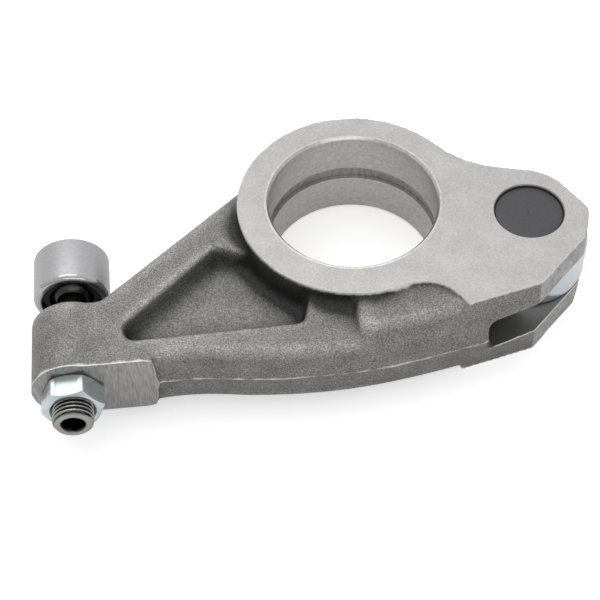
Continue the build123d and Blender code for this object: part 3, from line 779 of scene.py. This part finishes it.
bush_inner = pin_radius + running_gap
bush_outer = bush_inner + bush_wall
bush_ring = [(bush_inner, -roller_half), (bush_outer, -roller_half), (bush_outer, roller_half),
             (bush_inner, roller_half)]
floating_bush = lathe("bronze_roller_bush", rounded(bush_ring, [0.3] * 4), "Z",
                      (*pin_centre, mid_height), bronze, 128)
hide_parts("roller_bush")
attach(floating_bush, "roller_bush")

# Roller. Through-hardened bearing steel, ground and polished, with rounded rims. It turns on the
# floating bush and stands out of the fork where the cam runs on it.
roller_radius = 22.0

# Polished bearing steel. It mirrors the white sweep in a cool grey. Its polishing rings are
# under 0.05 mm apart and are drawn at 0.4 mm so that they show.
polished, tree = new_material("polished bearing steel")
turning = ring_marks(tree, "Z", 0.4, 20.0)
blue_grey = add_node(tree, "Mix", {0: (turning, 0), 6: "#C6CDD2", 7: "#DAE0E3"}, data_type="RGBA")
sheen = add_node(tree, "MapRange", {"Value": (turning, 0), "To Min": 0.16, "To Max": 0.26})
shader = add_node(tree, "BsdfPrincipled", {
    "Base Color": (blue_grey, 2), "Metallic": 1.0, "Roughness": (sheen, 0)})
add_node(tree, "OutputMaterial", {"Surface": (shader, 0)})

roller_inner = bush_outer + running_gap
tread = [(roller_inner, -roller_half), (roller_radius, -roller_half),
         (roller_radius, roller_half), (roller_inner, roller_half)]
roller = lathe("cam_roller", rounded(tread, (0.4, 1.1, 1.1, 0.4)), "Z", (*pin_centre, mid_height),
               polished, 256)
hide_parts("roller")
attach(roller, "roller")

# Adjusting screw. Turned and thread-rolled in one piece with its neck and its ball. The thread
# is M14 with a pitch of 1.5, and a 7 mm hexagon socket is broached into its rounded nose.
screw_end_y = -73.1
thread_radius = 7.0
thread_pitch = 1.5
thread_depth = 0.86
nose = 1.6
thread_run_out_y = -26.3
neck_radius = 5.25
ball_radius = 8.5
ball_y = -13.75
socket_half_flats = 3.5
socket_mouth = 4.55
socket_floor_y = screw_end_y + 8.5


def from_screw_axis(tree):
    """Nodes for the place along the screw's axis and the distance from it: sqrt(x^2 + z^2)."""
    where = add_node(tree, "TexCoord")
    centred = add_node(tree, "Mapping", {"Vector": (where, "Object"), "Location": (
        -screw_axis_x / 1000, 0.0, -mid_height / 1000)})
    axes = add_node(tree, "SeparateXYZ", {0: (centred, 0)})
    across = add_node(tree, "CombineXYZ", {"X": (axes, "X"), "Y": (axes, "Z")})
    return axes, add_node(tree, "VectorMath", {0: (across, 0)}, operation="LENGTH")


# Rolled thread steel. It gives bright crests with painted shade in the roots, a bright turned
# nose, painted shade on the neck and ball where they sit in the foot, and painted shade in the
# socket, which is near black. Its turning rings are drawn at 0.45 mm, several times as coarse as
# they are, so that they show.
screw_steel, tree = new_material("rolled thread steel")
axes, radius = from_screw_axis(tree)
# Painted shade in the thread's roots: below the crests the colour runs to near black.
crest = add_node(tree, "MapRange", {
    "Value": (radius, "Value"), "From Min": (thread_radius - 0.9) / 1000,
    "From Max": (thread_radius - 0.1) / 1000})
turning = ring_marks(tree, "Y", 0.4545, 8.333)
steel = add_node(tree, "Mix", {0: (turning, 0), 6: "#92918F", 7: "#B4B3B1"}, data_type="RGBA")
shaded_roots = add_node(tree, "Mix", {0: (crest, 0), 6: "#242322", 7: (steel, 2)}, data_type="RGBA")
behind_nose = add_node(tree, "MapRange", {
    "Value": (axes, "Y"), "From Min": (screw_end_y + 0.2) / 1000,
    "From Max": (screw_end_y + 0.9) / 1000})
on_nose = add_node(tree, "Math", {0: 1.0, 1: (behind_nose, 0)}, operation="SUBTRACT")
threaded = add_node(tree, "Mix", {0: (on_nose, 0), 6: (shaded_roots, 2), 7: (steel, 2)}, data_type="RGBA")
# Painted shade on the neck and the ball, which sit inside the foot: from the run-out on they are
# painted dark grey.
in_foot = add_node(tree, "MapRange", {
    "Value": (axes, "Y"), "From Min": (thread_run_out_y - 3.7) / 1000,
    "From Max": (thread_run_out_y + 0.8) / 1000})
screw_colour = add_node(tree, "Mix", {
    0: (in_foot, 0), 6: (threaded, 2), 7: "#454443"}, data_type="RGBA")
# Painted shade in the hexagon socket: its walls and floor are painted near black.
outside_socket = add_node(tree, "MapRange", {
    "Value": (radius, "Value"), "From Min": (socket_mouth - 0.55) / 1000,
    "From Max": (socket_mouth - 0.05) / 1000})
past_socket = add_node(tree, "MapRange", {
    "Value": (axes, "Y"), "From Min": (socket_floor_y + 0.3) / 1000,
    "From Max": (socket_floor_y + 1.1) / 1000})
out_of_socket = add_node(tree, "Math", {
    0: (outside_socket, 0), 1: (past_socket, 0)}, operation="MAXIMUM")
screw_shown = add_node(tree, "Mix", {
    0: (out_of_socket, 0), 6: "#1C1B1B", 7: (screw_colour, 2)}, data_type="RGBA")
shader = add_node(tree, "BsdfPrincipled", {
    "Base Color": (screw_shown, 2), "Metallic": 0.95, "Roughness": 0.27})
add_node(tree, "OutputMaterial", {"Surface": (shader, 0)})


def thread_surface(y, angle):
    """Radius of the screw's outside.

    The helix repeats once a turn and once a pitch. Across one pitch it is a flat crest, a flank
    that falls as 3 t^2 - 2 t^3, and a flat root one thread depth lower. It stays inside an
    envelope that is a quarter circle at the nose and falls at 45 degrees at the run-out.
    """
    turn = (y / thread_pitch - angle / (2 * np.pi)) % 1
    flank = np.clip((np.abs(2 * turn - 1) - 0.2) / 0.5, 0, 1)
    helix = thread_radius - thread_depth * flank * flank * (3 - 2 * flank)
    from_end = np.clip((y - screw_end_y) / nose, 0, 1)
    envelope = thread_radius - nose * (1 - np.sqrt(1 - (1 - from_end) ** 2))
    envelope = np.minimum(envelope, thread_radius - np.maximum(y - thread_run_out_y, 0))
    return np.minimum(helix, envelope)


def hexagon_radius(half_flats, angle):
    """Distance to a hexagon's side: half its flats / cos(angle off the side's middle)."""
    return half_flats / np.cos(angle % (np.pi / 3) - np.pi / 6)


# Rows from the socket's floor out over the nose, the thread and the neck to the ball's tip. They
# lie closer together where the thread shows.
segments = 144
angle = np.linspace(0, 2 * np.pi, segments, endpoint=False)
shown_row, hidden_row = 0.075, 0.15
shown_to_y, shown_from_y = -66.5, -31
neck_start_y = thread_run_out_y + thread_radius - neck_radius
rows_y = np.concatenate([screw_end_y + nose * (1 - np.cos(np.linspace(0, np.pi / 2, 8)))[:-1],
                         np.arange(screw_end_y + nose, shown_to_y, shown_row),
                         np.arange(shown_to_y, shown_from_y, hidden_row),
                         np.arange(shown_from_y, thread_run_out_y, shown_row),
                         np.linspace(thread_run_out_y, neck_start_y - 0.01, 8)])
outside = thread_surface(rows_y[:, None], angle[None, :])
neck_end_y = ball_y - np.sqrt(ball_radius ** 2 - neck_radius ** 2)
neck_y = np.linspace(neck_start_y + 0.05, neck_end_y, 6)
ball_angle = np.linspace(np.arcsin(neck_radius / ball_radius), np.pi, 40)[1:-1]
plain_y = np.concatenate([neck_y, ball_y - ball_radius * np.cos(ball_angle)])
plain_radius = np.concatenate([np.full(len(neck_y), neck_radius),
                               ball_radius * np.sin(ball_angle)])
hexagon = hexagon_radius(socket_half_flats, angle)
one_row = np.ones(segments)
socket_rows = [((socket_floor_y + 1.2) * one_row, hexagon * 0.35),
               ((socket_floor_y + 0.3) * one_row, hexagon * 0.96),
               (socket_floor_y * one_row, hexagon),
               (screw_end_y + socket_mouth - hexagon + 0.1, hexagon),
               (screw_end_y + socket_mouth - hexagon - 0.05, hexagon + 0.05),
               ((screw_end_y + 0.12) * one_row, (socket_mouth - 0.1) * one_row),
               (screw_end_y * one_row, (socket_mouth + 0.05) * one_row)]
along = np.vstack([[y for y, _ in socket_rows], rows_y[:, None] * one_row,
                   plain_y[:, None] * one_row])
radius = np.vstack([[r for _, r in socket_rows], outside, plain_radius[:, None] * one_row])
screw = turned_piece("ball_ended_screw", radius, along, "Y", (screw_axis_x, 0, mid_height),
                     screw_steel, 40.0, (socket_floor_y + 1.5, ball_y + ball_radius))
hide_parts("adjusting_screw")
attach(screw, "screw")

# Lock nut. Cold-formed hexagon, 19 mm across flats, chamfered at 30 degrees on both faces and
# bright zinc plated, tightened against the milled seat.
nut_flats = 19.0
nut_near_y = -67.5
nut_turn = np.radians(6.5)
flat_radius = 0.93 * nut_flats / 2
countersink = 0.9

# Bright zinc plate. It gives a bluish white mirror with a soft bloom, whose patches are about
# 2.2 mm across.
zinc, tree = new_material("bright zinc plate")
bloom, blue_white = mottled(tree, 2.2, "#C3CCCD", "#D6DFDF", 3.0)
plate_gloss = add_node(tree, "MapRange", {"Value": (bloom, 0), "To Min": 0.24, "To Max": 0.34})
drawn = add_node(tree, "Bump", {"Strength": 0.06, "Distance": 0.00005, "Height": (bloom, 0)})
shader = add_node(tree, "BsdfPrincipled", {
    "Base Color": (blue_white, 2), "Metallic": 1.0, "Roughness": (plate_gloss, 0),
    "Normal": (drawn, 0)})
add_node(tree, "OutputMaterial", {"Surface": (shader, 0)})

# From the countersunk hole over the near face and down the chamfer, whose cone falls at 30
# degrees from the flat ring to the hexagon's corners. The far half is the near one mirrored.
hexagon = hexagon_radius(nut_flats / 2, angle - (np.pi / 2 - nut_turn))
fall = (hexagon - flat_radius) * np.tan(np.radians(30))
near = [(nut_near_y + countersink, tapped_radius * one_row),
        (nut_near_y + 0.05, (tapped_radius + countersink - 0.05) * one_row),
        (nut_near_y, (tapped_radius + countersink + 0.08) * one_row),
        (nut_near_y, (flat_radius - 0.15) * one_row),
        (nut_near_y + 0.03, (flat_radius + 0.05) * one_row),
        (nut_near_y + fall * 0.96, flat_radius + (hexagon - flat_radius) * 0.96),
        (nut_near_y + fall + 0.12, hexagon)]
far = [(nut_near_y + seat_y - y, r) for y, r in near[::-1]]
nut = turned_piece("hexagon_lock_nut", np.array([r for _, r in near + far]),
                   np.array([y * one_row for y, _ in near + far]), "Y",
                   (screw_axis_x, 0, mid_height), zinc, 20.0)
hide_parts("lock_nut")
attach(nut, "nut")

# Swivel foot. Turned cup of hardened steel, ground outside, its lip polished round. It holds
# the screw's ball, and its flat end presses on the valve bridge.
foot_radius = 13.4
foot_near_y, foot_far_y = -21.0, -2.5
mouth_radius = 10.5
groove_radius = 11.1
groove_y = (-19.3, -18.0)
seat_radius = 8.55

# Ground hardened steel. It gives a pale even satin, with a polished lip and a near black inside.
# The grit's grain is under 0.1 mm, so it is drawn at 0.6 mm to show at all.
seat_top_y = ball_y + seat_radius
foot_steel, tree = new_material("ground hardened steel")
axes, radius = from_screw_axis(tree)
outside = add_node(tree, "MapRange", {
    "Value": (radius, "Value"), "From Min": mouth_radius / 1000,
    "From Max": (groove_radius + 0.1) / 1000})
sand, light_steel = mottled(tree, 0.6, "#ACACAE", "#BBBBBC")
at_far_end = add_node(tree, "MapRange", {
    "Value": (axes, "Y"), "From Min": (seat_top_y - 0.1) / 1000,
    "From Max": (seat_top_y + 0.7) / 1000})
bright_part = add_node(tree, "Math", {0: (outside, 0), 1: (at_far_end, 0)}, operation="MAXIMUM")
foot_colour = add_node(tree, "Mix", {
    0: (bright_part, 0), 6: "#1A1A1A", 7: (light_steel, 2)}, data_type="RGBA")
lip = add_node(tree, "MapRange", {
    "Value": (axes, "Y"), "From Min": (groove_y[0] + 0.2) / 1000,
    "From Max": (groove_y[0] + 0.6) / 1000, "To Min": 0.14, "To Max": 0.4})
grit = add_node(tree, "Bump", {"Strength": 0.05, "Distance": 0.00003, "Height": (sand, 0)})
shader = add_node(tree, "BsdfPrincipled", {
    "Base Color": (foot_colour, 2), "Metallic": 1.0, "Roughness": (lip, 0), "Normal": (grit, 0)})
add_node(tree, "OutputMaterial", {"Surface": (shader, 0)})

# The cup's outline: its rounded shell, and the ball's seat from the mouth to the oil hole.
oil_hole = 1.0
seat_angle = np.linspace(0, np.pi / 2 - np.arcsin(oil_hole / seat_radius), 24)
ball_seat = np.column_stack([seat_radius * np.cos(seat_angle),
                             ball_y + seat_radius * np.sin(seat_angle)])
shell = rounded([(oil_hole, foot_far_y), (foot_radius, foot_far_y), (foot_radius, foot_near_y),
                 (mouth_radius, foot_near_y), (mouth_radius, groove_y[0]),
                 (groove_radius, groove_y[0]), (groove_radius, groove_y[1]),
                 (seat_radius, groove_y[1])], (0.2, 0.9, 2.0, 0.25, 0.05, 0.05, 0.05, 0.1), 9)
foot = lathe("swivel_foot_cup", np.vstack([shell, ball_seat])[::-1], "Y",
             (screw_axis_x, 0, mid_height), foot_steel)
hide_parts("swivel_foot")
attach(foot, "foot")

# Snap ring. Flat spring steel, dark and oiled, sprung into the groove to keep the ball in. It is
# open over 40 degrees, so that it can be squeezed for fitting.
ring_inner, ring_outer = 7.8, 11.05
ring_near_y, ring_far_y = -19.25, -18.05
ring_opening = 40

# Oiled spring steel. It gives a near black with a wet shine, in patches about 1 mm across.
spring_steel, tree = new_material("oiled spring steel")
_, oil_black = mottled(tree, 1.0, "#141414", "#2A2A2B", spread=(0, 1))
shader = add_node(tree, "BsdfPrincipled", {
    "Base Color": (oil_black, 2), "Metallic": 0.7, "Roughness": 0.35})
add_node(tree, "OutputMaterial", {"Surface": (shader, 0)})

# The ring is its flat section carried along an arc: place = axis + radius * (sin angle,
# cos angle) + distance along the axis, with a face that closes each end.
section = rounded([(ring_inner, ring_near_y), (ring_outer, ring_near_y), (ring_outer, ring_far_y),
                   (ring_inner, ring_far_y)], [0.2] * 4)
turn = np.radians(np.linspace(ring_opening / 2, 360 - ring_opening / 2, 120))[:, None]
radius, along = section[:, 0], section[:, 1]
grid = np.stack([screw_axis_x + np.sin(turn) * radius, np.repeat(along[None], len(turn), 0),
                 mid_height + np.cos(turn) * radius], 2).reshape(-1, 3)
count = len(section)
row, column = np.indices((len(turn) - 1, count)).reshape(2, -1)
after = (column + 1) % count
faces = np.column_stack([row * count + column, (row + 1) * count + column,
                         (row + 1) * count + after, row * count + after]).tolist()
first_end = np.arange(count)
last_end = first_end[::-1] + (len(turn) - 1) * count
faces += [first_end.tolist(), last_end.tolist()]
snap_ring = mesh_piece("snap_ring", grid, faces, spring_steel)
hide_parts("foot_snap_ring")
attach(snap_ring, "foot")
